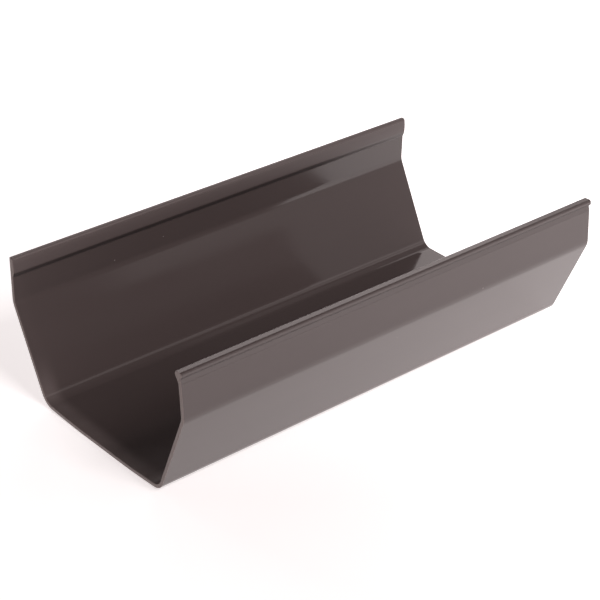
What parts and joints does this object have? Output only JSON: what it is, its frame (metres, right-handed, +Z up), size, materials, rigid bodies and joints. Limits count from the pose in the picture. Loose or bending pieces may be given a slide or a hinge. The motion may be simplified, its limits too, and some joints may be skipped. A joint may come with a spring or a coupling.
{
  "type": "gutter section",
  "caption": "Square-cut piece of plastic roof gutter with kneed walls, a beaded front rim and a thickened back rim.",
  "frame": {"origin": "middle of the outer box at the level of the underside", "axes": "+X along the gutter, +Y towards the back wall that stands against the fascia board, +Z up"},
  "size_m": [0.21, 0.1204, 0.0635],
  "materials": {
    "brown_pvc": "solid-coloured brown PVC-U, extruded smooth and glossy"
  },
  "bodies": {
    "root": {"gutter_channel": "brown_pvc"}
  },
  "joints": []
}
